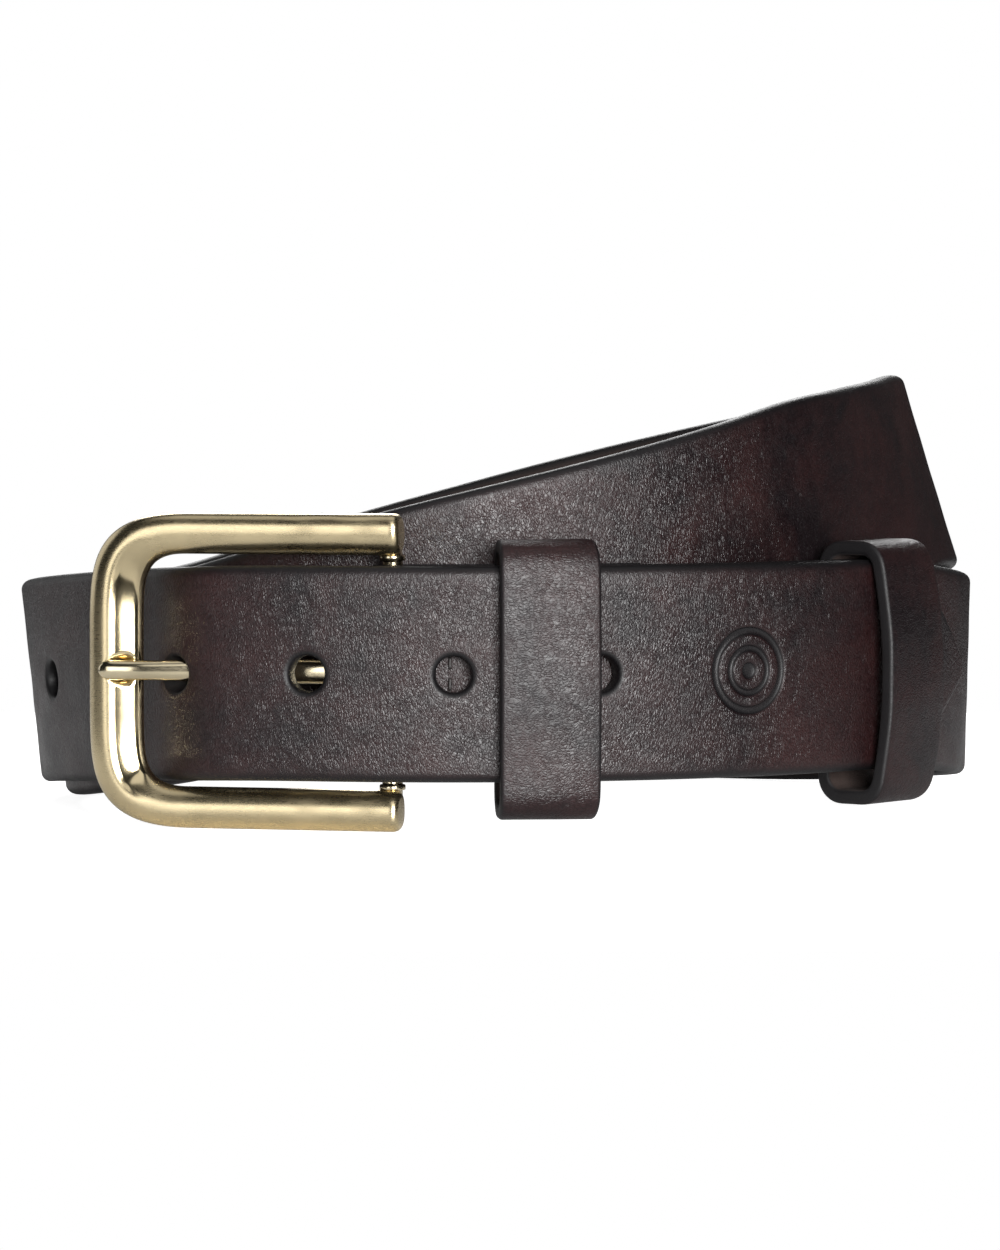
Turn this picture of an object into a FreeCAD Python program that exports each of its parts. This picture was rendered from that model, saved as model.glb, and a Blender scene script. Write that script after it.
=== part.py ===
import FreeCAD, Part
import math
import os
from FreeCAD import Base

# A full-grain leather belt, buckled and standing on its edges as a two-turn coil.
# Millimetres. +Z is up, +X runs along the front strand to the tip, -Y faces the viewer.
# Azimuth: degrees about the coil axis from the front (-Y) towards +X; it keeps growing
# past 360 along the strap, from the heel bar (-6.7) to the pointed tip (793).

V = Base.Vector
doc = FreeCAD.newDocument("leather_belt")

SIZES = [
    ("coil_x", -8.0, "coil axis"),
    ("coil_y", 17.1, "coil axis"),
    ("strap_z", 28.1, "height of the strap centre line at the front"),
    ("strap_width", 38.0, "strap width"),
    ("strap_thick", 4.0, "strap thickness"),
    ("skived_thick", 2.0, "strap thickness where it wraps the heel bar"),
    ("turnback_end", 23.0, "azimuth where the turned-back end stops"),
    ("bar_azimuth", -6.7, "azimuth of the heel bar"),
    ("bar_radius_pos", 89.75, "distance of the heel bar from the coil axis"),
    ("bar_dia", 3.6, "heel bar diameter"),
    ("bar_length", 50.0, "heel bar length, ends pressed in the arms"),
    ("frame_yaw", 15.0, "frame plane turned in at its left end"),
    ("frame_height", 56.2, "outer height of the frame"),
    ("frame_reach", 55.8, "heel bar centre to the far side of the left bar"),
    ("frame_heel", 2.0, "arms run past the heel bar"),
    ("frame_arm", 7.4, "arm height"),
    ("frame_bar", 9.9, "left bar width"),
    ("frame_thick", 6.2, "frame thickness"),
    ("frame_back", 1.8, "frame rear face behind the heel bar centre"),
    ("frame_outer_corner", 14.0, "outer corner radius"),
    ("frame_inner_corner", 5.5, "inner corner radius"),
    ("frame_round", 2.5, "edge rounding of the casting"),
    ("notch_width", 6.0, "prong seat in the left bar"),
    ("notch_depth", 1.6, "prong seat in the left bar"),
    ("prong_width", 4.4, "prong width"),
    ("prong_thick", 2.8, "prong thickness"),
    ("prong_tip", 53.0, "heel bar centre to the prong tip"),
    ("prong_eye", 3.5, "outer radius of the prong eye"),
    ("prong_clear", 0.4, "room left round the prong in the leather"),
    ("keeper_width", 18.0, "keeper width along the strap"),
    ("keeper_wall", 2.6, "keeper leather thickness"),
    ("fixed_back", 86.8, "rear face of the fixed keeper from the coil axis"),
    ("fixed_front", 101.7, "front face of the fixed keeper at mid height"),
    ("fixed_curve", 270.0, "radius of its gently bowed front"),
    ("loose_back", 86.4, "rear face of the loose keeper from the coil axis"),
    ("loose_front", 103.4, "front face of the loose keeper at mid height"),
    ("loose_curve", 90.0, "radius of its bowed front"),
    ("keeper_corner", 4.6, "outer corner radius of a keeper"),
    ("fixed_azimuth", 10.0, "fixed keeper"),
    ("fixed_top", 23.6, "fixed keeper above the strap centre"),
    ("fixed_bottom", 25.7, "fixed keeper below the strap centre"),
    ("loose_azimuth", 55.0, "loose keeper"),
    ("loose_top", 22.4, "loose keeper above the strap centre"),
    ("loose_bottom", 25.4, "loose keeper below the strap centre"),
    ("hole_dia", 6.5, "size holes"),
    ("hole_pitch", 26.3, "size hole spacing along the grain face"),
    ("hole_count", 7, "size holes"),
    ("first_hole", 735.6, "azimuth of the size hole nearest the tip"),
    ("bend_start", 648.0, "azimuth where the section held by the frame starts"),
    ("bend_end", 712.5, "azimuth where the section held by the frame ends"),
    ("tip_start", 777.0, "azimuth where the strap starts to narrow"),
    ("tip_end", 793.0, "azimuth of the tip"),
    ("tip_half", 1.5, "half width left at the tip"),
    ("slot_half", 2.6, "half width of the prong slot in the wrap"),
    ("thread_dia", 0.8, "waxed thread"),
    ("stitch_pitch", 3.75, "stitch length"),
    ("stitch_span", 30.0, "length of a stitch row across the strap"),
    ("stitch_inner", -0.2, "azimuth of the row beside the bar"),
    ("stitch_outer", 19.6, "azimuth of the row beyond the keeper"),
    ("staple_span", 9.0, "keeper staple crown"),
    ("staple_wire", 0.7, "keeper staple wire"),
]
sheet = doc.addObject("Spreadsheet::Sheet", "Sizes")
for line, (alias, value, note) in enumerate(SIZES, start=1):
    sheet.set("A%d" % line, alias)
    sheet.set("B%d" % line, str(value))
    sheet.set("C%d" % line, note)
    sheet.setAlias("B%d" % line, alias)
doc.recompute()


def size(alias):
    return float(sheet.get(alias))


WIDTH = size("strap_width")
THICK = size("strap_thick")
BAR_AZ = size("bar_azimuth")
Z0 = size("strap_z")

# Corners of the strap's run: (azimuth, value, rounding in degrees either side).
# Grain face distance from the coil axis.
RADIUS = [
    (-60, 93.7, 1), (68, 93.7, 16), (96, 99.1, 16), (140, 71.8, 16), (165, 61.9, 16),
    (205, 62.1, 16), (240, 69.4, 16), (268, 74.5, 16), (300, 78.8, 12), (342, 83.4, 10),
    (385, 83.3, 10), (428, 82.6, 8), (449, 87.6, 8), (457, 92.4, 8), (474, 93.0, 10),
    (500, 76.9, 16), (525, 67.2, 16), (565, 67.2, 16), (600, 74.2, 16), (628, 79.2, 16),
    (663, 83.8, 10), (683.5, 91.3, 4), (692, 98.0, 5), (788, 98.0, 16), (816, 103.4, 16),
]
# Strap centre height above or below its height at the front.
HEIGHT = [
    (-60, 0.0, 12), (58, 0.0, 12), (95, -5.6, 14), (122, -9.0, 14), (200, -9.0, 14),
    (290, -7.5, 14), (325, -2.0, 14), (355, 10.0, 14), (412, 29.4, 8), (450, 34.3, 7), (457, 34.0, 10),
    (482, 28.5, 14), (590, -6.0, 14), (625, -7.0, 14), (695, 0.0, 14), (778, 0.0, 12),
    (815, -5.6, 14),
]
# Lean of the top edge towards +X, degrees.
LEAN = [
    (-60, 0.0, 12), (78, 0.0, 12), (100, 3.0, 12), (140, 0.0, 12), (200, -9.0, 14),
    (280, -6.0, 14), (310, -2.0, 12), (380, -4.0, 12), (428, -8.0, 10), (450, -17.0, 10),
    (480, -17.0, 12), (560, -10.0, 14), (640, -6.0, 14), (690, 0.0, 10), (830, 0.0, 12),
]


def bend(u, s):
    """Zero before -s, u after +s, smooth in between."""
    if u <= -s:
        return 0.0
    if u >= s:
        return u
    return (u + s) ** 3 * (3 * s - u) / (16 * s ** 3)


def rounded(corners, a):
    """Value at azimuth a on a run of straight pieces with rounded corners."""
    slope = (corners[1][1] - corners[0][1]) / (corners[1][0] - corners[0][0])
    value = corners[0][1] + slope * (a - corners[0][0])
    for here, after in zip(corners[1:-1], corners[2:]):
        following = (after[1] - here[1]) / (after[0] - here[0])
        value += (following - slope) * bend(a - here[0], here[2])
        slope = following
    return value


def polar(radius, a, z=0.0):
    """World point at a distance from the coil axis, z from the strap centre height."""
    angle = math.radians(a)
    x = size("coil_x") + radius * math.sin(angle)
    y = size("coil_y") - radius * math.cos(angle)
    return V(x, y, Z0 + z)


def grain_point(a):
    return polar(rounded(RADIUS, a), a, rounded(HEIGHT, a))


def strap_frame(a, point_at=grain_point):
    """Centre of the outer face with the along, across and outward directions."""
    along = (point_at(a + 0.2) - point_at(a - 0.2)).normalize()
    lean = math.radians(rounded(LEAN, a))
    up = V(math.sin(lean), 0, math.cos(lean))
    across = (up - along * up.dot(along)).normalize()
    return point_at(a), along, across, along.cross(across)


def station(a, half=None, thick=None, point_at=grain_point):
    """One cross section of the strap: its centre, half width and depth vectors."""
    centre, along, across, outward = strap_frame(a, point_at)
    return centre, across * (half or WIDTH / 2), outward * (thick or THICK)


def stations(start, end, step):
    count = max(3, int(math.ceil((end - start) / step)))
    return [start + (end - start) * i / count for i in range(count + 1)]


def strip(sections):
    """Solid strip through cross sections; each centre lies on the grain face."""
    rails = [[], [], [], []]
    run = [0.0]
    for before, after in zip(sections, sections[1:]):
        run.append(run[-1] + ((after[0] - after[2] / 2) - (before[0] - before[2] / 2)).Length)
    for centre, rise, depth in sections:
        corners = (centre + rise, centre - rise, centre - rise - depth, centre + rise - depth)
        for rail, corner in zip(rails, corners):
            rail.append(corner)
    curves = []
    for rail in rails:
        curve = Part.BSplineCurve()
        curve.interpolate(Points=rail, Parameters=run)
        curves.append(curve)
    faces = []
    joints = list(range(0, len(sections) - 8, 7)) + [len(sections) - 1]
    for first, last in zip(joints, joints[1:]):
        for curve, other in zip(curves, curves[1:] + curves[:1]):
            near = curve.copy()
            near.segment(run[first], run[last])
            far = other.copy()
            far.segment(run[first], run[last])
            ruled = Part.BSplineSurface()
            ruled.buildFromPolesMultsKnots(
                list(zip(near.getPoles(), far.getPoles())), near.getMultiplicities(), (2, 2),
                near.getKnots(), (0.0, 1.0), False, False, near.Degree, 1)
            faces.append(ruled.toShape())
    for tip in (0, -1):
        ring = [rail[tip] for rail in rails]
        faces.append(Part.Face(Part.makePolygon(ring + ring[:1])))
    shell = Part.Shell(faces)
    shell.sewShape()
    solid = Part.Solid(shell)
    if solid.Volume < 0:
        solid.reverse()
    return solid


def length_between(start, end, step=0.5):
    """Length of the grain face centre line between two azimuths."""
    count = int(math.ceil((end - start) / step))
    points = [grain_point(start + (end - start) * i / count) for i in range(count + 1)]
    return sum((q - p).Length for p, q in zip(points, points[1:]))


def hole_azimuths():
    """Azimuths of the size holes, from the tip inwards, evenly spaced along the strap."""
    found = [size("first_hole")]
    for i in range(int(size("hole_count")) - 1):
        a = found[-1] - 15.0
        for turn in range(8):
            error = size("hole_pitch") - length_between(a, found[-1])
            a -= math.degrees(error / 90.0)
        found.append(a)
    return found


def punch(a):
    centre, along, across, outward = strap_frame(a)
    return Part.makeCylinder(size("hole_dia") / 2, 12, centre - outward * 8, outward)


def node(label, shape):
    thing = doc.addObject("Part::Feature", label)
    thing.Label = label
    thing.Shape = shape
    return thing


HOLES = hole_azimuths()
BAR_AT = polar(size("bar_radius_pos"), BAR_AZ)
YAW = math.radians(size("frame_yaw"))
REACH = V(-math.cos(YAW), math.sin(YAW), 0)
PROUD = V(-math.sin(YAW), -math.cos(YAW), 0)


# Prong: a flat bar round the heel bar, cranked up through the leather to its seat.
# (distance from the heel bar, centre height in front of the heel bar)
PRONG_RUN = [(1.0, 1.5), (10, 0.9), (27, 1.0), (36, 2.3), (46, 4.35)]
PRONG_SEAT = size("frame_thick") - size("frame_back") - size("notch_depth") + 0.1 + size("prong_thick") / 2


def prong_side(grow):
    """Side outline of the prong as upper and lower points."""
    half = size("prong_thick") / 2 + grow
    run = PRONG_RUN[:-1] + [(46, PRONG_SEAT), (size("prong_tip") + grow, PRONG_SEAT)]
    upper = [BAR_AT + REACH * u + PROUD * (n + half) for u, n in run]
    lower = [BAR_AT + REACH * u + PROUD * (n - half) for u, n in run]
    return upper, lower


def prong_blade(grow):
    upper, lower = prong_side(grow)
    top = Part.BSplineCurve()
    top.interpolate(upper)
    under = Part.BSplineCurve()
    under.interpolate(lower)
    wire = Part.Wire([
        top.toShape(), Part.makeLine(upper[-1], lower[-1]),
        under.toShape(), Part.makeLine(lower[0], upper[0])])
    half = size("prong_width") / 2 + grow
    face = Part.Face(wire)
    face.translate(V(0, 0, -half))
    return face.extrude(V(0, 0, 2 * half))


# Strap: turned-back end, wrap round the bar and both turns, as one strip
def skive(a):
    """0 beside the bar, 1 where the strap is back to its full section."""
    share = min(1.0, max(0.0, (a - BAR_AZ) / 9.0))
    return share * share * (3 - 2 * share)


def start_thick(a):
    return size("skived_thick") + (THICK - size("skived_thick")) * skive(a)


WRAP = 93.7 - size("bar_radius_pos")
LOW = size("bar_radius_pos") - WRAP


def turnback_point(a):
    """Grain face of the turned-back end, given the azimuth with its sign changed."""
    return polar(LOW - 1.3 * skive(-a), -a)


sections = []
for a in stations(-size("turnback_end"), -BAR_AZ, 2.0):
    sections.append(station(a, thick=size("skived_thick"), point_at=turnback_point))
for i in range(1, 12):
    turn = math.radians(BAR_AZ) - math.pi * (1 - i / 12)
    outward = V(math.sin(turn), -math.cos(turn), 0)
    sections.append((
        BAR_AT + outward * WRAP, V(0, 0, WIDTH / 2), outward * size("skived_thick")))
for a in stations(BAR_AZ, 20.0, 2.0):
    sections.append(station(a, thick=start_thick(a)))
for a in stations(20.0, size("bend_start"), 4.0)[1:]:
    sections.append(station(a))
strap = strip(sections)
slot = Part.makeBox(20, 16, 2 * size("slot_half"), V(-10, -8, -size("slot_half")))
slot.Placement = FreeCAD.Placement(BAR_AT, FreeCAD.Rotation(V(0, 0, 1), BAR_AZ))
strap = strap.cut(slot)
strap = strap.cut([punch(a) for a in HOLES if a < size("bend_start")])
node("strap_coil", strap.Solids[0])

held = strip([station(a) for a in stations(size("bend_start"), size("bend_end"), 1.5)])
held = held.cut([punch(a) for a in HOLES if size("bend_start") < a < size("bend_end")])
held = held.cut(prong_blade(size("prong_clear")))
node("strap_buckle_bend", held.Solids[0])


def tip_half(a):
    share = max(0.0, (a - size("tip_start")) / (size("tip_end") - size("tip_start")))
    return WIDTH / 2 - (WIDTH / 2 - size("tip_half")) * share


tip = strip([station(a) for a in stations(size("bend_end"), size("tip_start"), 3.0)])
point = strip([station(a, half=tip_half(a)) for a in stations(size("tip_start"), size("tip_end"), 2.0)])
tip = tip.fuse(point).removeSplitter().cut([punch(a) for a in HOLES if a > size("bend_end")])
node("strap_tip_end", tip.Solids[0])

doc.recompute()


# Buckle frame: a cast U, open at the heel
def plane_of(body, role):
    for feature in body.Origin.OriginFeatures:
        if feature.Role == role:
            return feature


def sketch_on(body, name, role):
    sketch = body.newObject("Sketcher::SketchObject", name)
    sketch.AttachmentSupport = (plane_of(body, role), [""])
    sketch.MapMode = "FlatFace"
    return sketch


def add_lines(sketch, points):
    for p, q in zip(points, points[1:]):
        sketch.addGeometry(Part.LineSegment(V(p[0], p[1], 0), V(q[0], q[1], 0)), False)


def add_corner(sketch, centre, radius, start, end):
    circle = Part.Circle(V(centre[0], centre[1], 0), V(0, 0, 1), radius)
    arc = Part.ArcOfCircle(circle, math.radians(start), math.radians(end))
    sketch.addGeometry(arc, False)


frame = doc.addObject("PartDesign::Body", "buckle_frame")
frame.Label = "buckle_frame"
outline = sketch_on(frame, "FrameOutline", "XZ_Plane")
heel = -size("frame_heel")
far = size("frame_reach")
high = size("frame_height") / 2
low = high - size("frame_arm")
near = far - size("frame_bar")
ro = size("frame_outer_corner")
ri = size("frame_inner_corner")
add_lines(outline, [(heel, low), (heel, high), (far - ro, high)])
add_corner(outline, (far - ro, high - ro), ro, 0, 90)
add_lines(outline, [(far, high - ro), (far, ro - high)])
add_corner(outline, (far - ro, ro - high), ro, 270, 360)
add_lines(outline, [(far - ro, -high), (heel, -high), (heel, -low), (near - ri, -low)])
add_corner(outline, (near - ri, ri - low), ri, 270, 360)
add_lines(outline, [(near, ri - low), (near, low - ri)])
add_corner(outline, (near - ri, low - ri), ri, 0, 90)
add_lines(outline, [(near - ri, low), (heel, low)])
doc.recompute()
cast = frame.newObject("PartDesign::Pad", "FrameCast")
cast.Profile = outline
cast.setExpression("Length", "Sizes.frame_thick")
doc.recompute()
rounding = frame.newObject("PartDesign::Fillet", "FrameRound")
rounding.Base = (cast, ["Face%d" % (i + 1) for i in range(len(cast.Shape.Faces))
                        if abs(cast.Shape.Faces[i].normalAt(0, 0).y) > 0.9])
rounding.setExpression("Radius", "Sizes.frame_round")
doc.recompute()
seat = sketch_on(frame, "NotchOutline", "XZ_Plane")
seat_half = size("notch_width") / 2
add_lines(seat, [(near - 2, -seat_half), (far + 2, -seat_half), (far + 2, seat_half),
                 (near - 2, seat_half), (near - 2, -seat_half)])
doc.recompute()
notch = frame.newObject("PartDesign::Pocket", "ProngSeat")
notch.Profile = seat
doc.recompute()
notch.setExpression("Length", "Sizes.notch_depth")
notch.Reversed = True
doc.recompute()
frame.Tip = notch
turned = FreeCAD.Rotation(REACH, PROUD, V(0, 0, 1), "XYZ")
front = size("frame_thick") - size("frame_back")
frame.Placement = FreeCAD.Placement(BAR_AT + PROUD * front, turned)

# Heel bar
bar = doc.addObject("Part::Cylinder", "heel_bar")
bar.Label = "heel_bar"
bar.setExpression("Radius", "Sizes.bar_dia / 2")
bar.setExpression("Height", "Sizes.bar_length")
bar.Placement = FreeCAD.Placement(BAR_AT - V(0, 0, size("bar_length") / 2), FreeCAD.Rotation())

# Prong
eye_half = size("prong_width") / 2
eye_foot = BAR_AT - V(0, 0, eye_half)
eye = Part.makeCylinder(size("prong_eye"), 2 * eye_half, eye_foot, V(0, 0, 1))
bore = Part.makeCylinder(size("bar_dia") / 2 + 0.08, 2 * eye_half, eye_foot, V(0, 0, 1))
prong = eye.fuse(prong_blade(0.0)).cut(bore).removeSplitter()
node("prong", prong.Solids[0])


# Keepers: leather rings swept about the coil axis
def keeper_loop(sketch, inset, name):
    """One closed loop of the ring section, set in from the outer face."""
    back = size(name + "_back") + inset
    face = size(name + "_front") - inset
    up = size(name + "_top") - inset
    down = inset - size(name + "_bottom")
    r = size("keeper_corner") - inset
    curve = size(name + "_curve") - inset
    rise = (up - down) / 2 - r
    rc = face - curve + math.sqrt((curve - r) ** 2 - rise ** 2)
    meet = math.degrees(math.asin(rise / (curve - r)))
    edge = rc + r * math.cos(math.radians(meet))
    lip = r - r * math.sin(math.radians(meet))
    add_lines(sketch, [(back, down + r), (back, up - r)])
    add_corner(sketch, (back + r, up - r), r, 90, 180)
    add_lines(sketch, [(back + r, up), (rc, up)])
    add_corner(sketch, (rc, up - r), r, meet, 90)
    middle = V(face, (up + down) / 2, 0)
    sketch.addGeometry(Part.Arc(V(edge, down + lip, 0), middle, V(edge, up - lip, 0)), False)
    add_corner(sketch, (rc, down + r), r, 270, 360 - meet)
    add_lines(sketch, [(rc, down), (back + r, down)])
    add_corner(sketch, (back + r, down + r), r, 180, 270)


def keeper(name):
    label = name + "_keeper"
    body = doc.addObject("PartDesign::Body", label)
    body.Label = label
    section = sketch_on(body, label + "_section", "XZ_Plane")
    keeper_loop(section, 0.0, name)
    keeper_loop(section, size("keeper_wall"), name)
    doc.recompute()
    ring = body.newObject("PartDesign::Revolution", label + "_ring")
    ring.Profile = section
    ring.ReferenceAxis = (section, ["V_Axis"])
    ring.Midplane = True
    ring.setExpression("Angle", "Sizes.keeper_width / Sizes.%s_front * 180 / pi" % name)
    doc.recompute()
    body.Tip = ring
    body.Placement = FreeCAD.Placement(
        V(size("coil_x"), size("coil_y"), Z0),
        FreeCAD.Rotation(V(0, 0, 1), size(name + "_azimuth") - 90))


keeper("fixed")
keeper("loose")


def staple(name):
    """Flat wire staple across the butt seam, sunk in the rear wall of a keeper."""
    wire = size("staple_wire")
    half = size("staple_span") / 2
    azimuth = size(name + "_azimuth")
    crown = Part.makeBox(wire, 2 * half, wire, V(0, -half, -wire / 2))
    legs = [Part.makeBox(1.8, wire, wire, V(0, y, -wire / 2)) for y in (-half, half - wire)]
    shape = crown.fuse(legs).removeSplitter()
    thing = node(name + "_keeper_staple", shape.Solids[0])
    thing.Placement = FreeCAD.Placement(
        polar(size(name + "_back") + 0.15, azimuth), FreeCAD.Rotation(V(0, 0, 1), azimuth - 90))


staple("fixed")
staple("loose")


# Stitch rows: waxed thread sunk through the under strand and the turned-back end
def stitch_row(label, azimuth):
    radius = size("thread_dia") / 2
    span = size("stitch_span")
    grain = 93.7 - radius - 0.05
    flesh = 84.5 + radius + 0.05
    runs = []
    for distance in (grain, flesh):
        runs.append(Part.makeCylinder(radius, span, polar(distance, azimuth, -span / 2), V(0, 0, 1)))
    inward = (polar(flesh, azimuth) - polar(grain, azimuth)).normalize()
    count = int(round(span / size("stitch_pitch")))
    for i in range(count + 1):
        z = -span / 2 + span * i / count
        runs.append(Part.makeCylinder(radius, grain - flesh, polar(grain, azimuth, z), inward))
    shape = runs[0].fuse(runs[1:]).removeSplitter()
    node(label, shape.Solids[0])


stitch_row("stitch_row_inner", size("stitch_inner"))
stitch_row("stitch_row_outer", size("stitch_outer"))

doc.recompute()

NODES = [
    "strap_coil", "strap_buckle_bend", "strap_tip_end", "buckle_frame", "heel_bar", "prong",
    "fixed_keeper", "loose_keeper", "fixed_keeper_staple", "loose_keeper_staple",
    "stitch_row_inner", "stitch_row_outer",
]
for thing in doc.Objects:
    if "Invalid" in thing.State or "Error" in thing.State:
        raise RuntimeError("%s is %s" % (thing.Name, thing.State))

os.makedirs("parts", exist_ok=True)
for name in NODES:
    shape = doc.getObject(name).Shape
    if shape.isNull() or not shape.isValid() or len(shape.Solids) != 1:
        raise RuntimeError("%s has a bad shape" % name)
    shape.exportStep("parts/%s.step" % name)
    print("%-22s %9.1f mm3" % (name, shape.Volume))
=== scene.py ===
import bpy
import bmesh
import math
import numpy as np
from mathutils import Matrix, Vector


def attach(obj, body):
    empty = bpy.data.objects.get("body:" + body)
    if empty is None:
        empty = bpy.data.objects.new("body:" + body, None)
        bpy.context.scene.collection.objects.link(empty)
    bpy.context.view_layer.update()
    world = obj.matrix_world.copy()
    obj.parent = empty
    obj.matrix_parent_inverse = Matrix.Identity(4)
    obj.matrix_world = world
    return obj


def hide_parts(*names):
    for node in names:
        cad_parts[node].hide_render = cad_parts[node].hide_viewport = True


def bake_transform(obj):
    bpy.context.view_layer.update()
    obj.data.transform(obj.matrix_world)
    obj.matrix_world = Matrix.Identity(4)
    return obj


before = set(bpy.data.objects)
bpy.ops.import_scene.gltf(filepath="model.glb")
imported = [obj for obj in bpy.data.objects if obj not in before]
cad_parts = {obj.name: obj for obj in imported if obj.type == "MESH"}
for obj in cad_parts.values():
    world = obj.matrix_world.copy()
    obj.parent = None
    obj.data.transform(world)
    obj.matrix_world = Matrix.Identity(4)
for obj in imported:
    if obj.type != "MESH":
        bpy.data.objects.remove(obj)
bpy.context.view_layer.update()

# Shapes are worked out in millimetres in the row frame and written in metres. Azimuths are degrees
# round the coil's axis, 0 facing the viewer; the second turn goes on past 360.
MM = 0.001
COIL = np.array([-8.0, 17.1])
STRAP_Z = 28.1

# Strap: its size, then the azimuths of its features from the turned-back end to the tip
WIDTH = 38.0
THICK = 4.0
SKIVED = 2.0
SKIVE_TURN = 9.0
TURNBACK_AZ = 23.0
BAR_AZ = -6.7
BEND_AZ = 648.0
FIRST_HOLE_AZ = 735.6
MARK_AZ = 752.6
TIP_AZ = 793.0
TIP_LENGTH = 27.5
HOLE_PITCH = 26.3
HOLE_COUNT = 7
STITCH_PITCH = 3.75
GRAIN_FRONT = 93.7

# Keepers: azimuth and radius of the rear seam
KEEPER_WIDTH = 18.0
KEEPER_WALL = 2.6
KEEPER_CORNER = 5.2
FIXED_AZ, FIXED_BACK = 10.0, 86.8
LOOSE_AZ, LOOSE_BACK = 55.0, 86.4

# Buckle: the heel bar's radius from the coil axis, then lengths along the arms from the bar, and the
# height of the casting's middle plane over it
BAR_AT = 89.75
BAR_RADIUS = 1.8
FRAME_YAW = math.radians(15.0)
ARM_END = -2.0
FRAME_MIDDLE = 1.3
FRAME_HALF = 3.1
PRONG_EYE = 2.7
PRONG_TIP = 53.2

# Grain radius, height and lean of the strap: (azimuth, value, half width of the rounded corner there)
RADIUS = [
    (-60, 93.7, 1), (68, 93.7, 16), (96, 99.1, 16), (140, 71.8, 16), (165, 61.9, 16),
    (205, 62.1, 16), (240, 69.4, 16), (268, 74.5, 16), (300, 78.8, 12), (342, 83.4, 10),
    (385, 83.3, 10), (428, 82.6, 8), (449, 87.6, 8), (457, 92.4, 8), (474, 93.0, 10),
    (500, 76.9, 16), (525, 67.2, 16), (565, 67.2, 16), (600, 74.2, 16), (628, 79.2, 16),
    (663, 83.8, 10), (683.5, 91.3, 4), (692, 98.0, 5), (788, 98.0, 16), (816, 103.4, 16),
]
HEIGHT = [
    (-60, 0.0, 12), (58, 0.0, 12), (95, -5.6, 14), (122, -9.0, 14), (200, -9.0, 14),
    (290, -7.5, 14), (325, -2.0, 14), (355, 10.0, 14), (412, 29.4, 8), (450, 34.3, 7),
    (457, 34.0, 10), (482, 28.5, 14), (590, -6.0, 14), (625, -7.0, 14), (695, 0.0, 14),
    (778, 0.0, 12), (815, -5.6, 14),
]
LEAN = [
    (-60, 0.0, 12), (78, 0.0, 12), (100, 3.0, 12), (140, 0.0, 12), (200, -9.0, 14),
    (280, -6.0, 14), (310, -2.0, 12), (380, -4.0, 12), (428, -8.0, 10), (450, -17.0, 10),
    (480, -17.0, 12), (560, -10.0, 14), (640, -6.0, 14), (690, 0.0, 10), (830, 0.0, 12),
]


def rounded(corners, a):
    """Value at azimuth a on straight pieces with rounded corners."""
    slope = (corners[1][1] - corners[0][1]) / (corners[1][0] - corners[0][0])
    value = corners[0][1] + slope * (a - corners[0][0])
    for here, after in zip(corners[1:-1], corners[2:]):
        following = (after[1] - here[1]) / (after[0] - here[0])
        s = here[2]
        u = np.clip(a - here[0], -s, s)
        ramp = (u + s) ** 3 * (3 * s - u) / (16 * s ** 3) + np.maximum(a - here[0] - s, 0)
        value = value + (following - slope) * ramp
        slope = following
    return value


def polar(radius, azimuth, z=0.0):
    """Points round the coil's axis: azimuth 0 faces the viewer, z is above the strap's centre line."""
    t = np.radians(azimuth)
    x = COIL[0] + radius * np.sin(t)
    y = COIL[1] - radius * np.cos(t)
    return np.stack([x, y, STRAP_Z + z + 0 * x], -1)


def polar_point(radius, azimuth, z=0.0):
    return polar(np.array([radius]), np.array([azimuth]), z)[0]


def unit(v):
    return v / np.linalg.norm(v, axis=-1, keepdims=True)


def smooth(t):
    """Ease from 0 to 1."""
    t = np.clip(t, 0.0, 1.0)
    return t * t * (3 - 2 * t)


# ---------------------------------------------------------------- strap run
NO_AZIMUTH = -999.0


def strap_run():
    """Cross sections along the whole strap, from the turned-back end to the tip."""
    fine = 0.25
    back = np.arange(TURNBACK_AZ, BAR_AZ, -fine)
    skive = smooth((back - BAR_AZ) / SKIVE_TURN)
    inner = polar(2 * BAR_AT - GRAIN_FRONT - 1.3 * skive, back)
    bar = polar_point(BAR_AT, BAR_AZ)
    turn = np.radians(BAR_AZ) - np.pi * (1 - np.arange(0, 41) / 40)
    wrap = bar + (GRAIN_FRONT - BAR_AT) * np.stack([np.sin(turn), -np.cos(turn), 0 * turn], -1)
    a = np.arange(BAR_AZ + fine, TIP_AZ + 0.01, fine)
    coil = polar(rounded(RADIUS, a), a, rounded(HEIGHT, a))
    grain = np.concatenate([inner, wrap, coil])
    azimuth = np.concatenate([back * 0 + NO_AZIMUTH, turn * 0 + NO_AZIMUTH, a])
    along = unit(np.gradient(grain, axis=0))
    lean = np.concatenate([np.zeros(len(back) + len(turn)), np.radians(rounded(LEAN, a))])
    up = np.stack([np.sin(lean), 0 * lean, np.cos(lean)], -1)
    across = unit(up - along * (up * along).sum(1)[:, None])
    outward = np.cross(along, across)
    thick = np.concatenate([
        0 * back + SKIVED, 0 * turn + SKIVED,
        SKIVED + (THICK - SKIVED) * smooth((a - BAR_AZ) / SKIVE_TURN)])
    step = np.linalg.norm(np.diff(grain, axis=0), axis=1)
    run = np.concatenate([[0.0], np.cumsum(step)])
    return run, grain, across, outward, thick, azimuth


RUN, GRAIN, ACROSS, OUTWARD, THICKNESS, AZIMUTH = strap_run()
COIL_START = int(np.argmax(AZIMUTH > NO_AZIMUTH))
RUN_END = RUN[-1]


def run_at(azimuth):
    """Length along the strap at an azimuth of the coil."""
    return float(np.interp(azimuth, AZIMUTH[COIL_START:], RUN[COIL_START:]))


def table_at(table, s):
    """Row of a table of vectors at run s."""
    return np.stack([np.interp(s, RUN, table[:, i]) for i in range(3)], -1)


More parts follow.
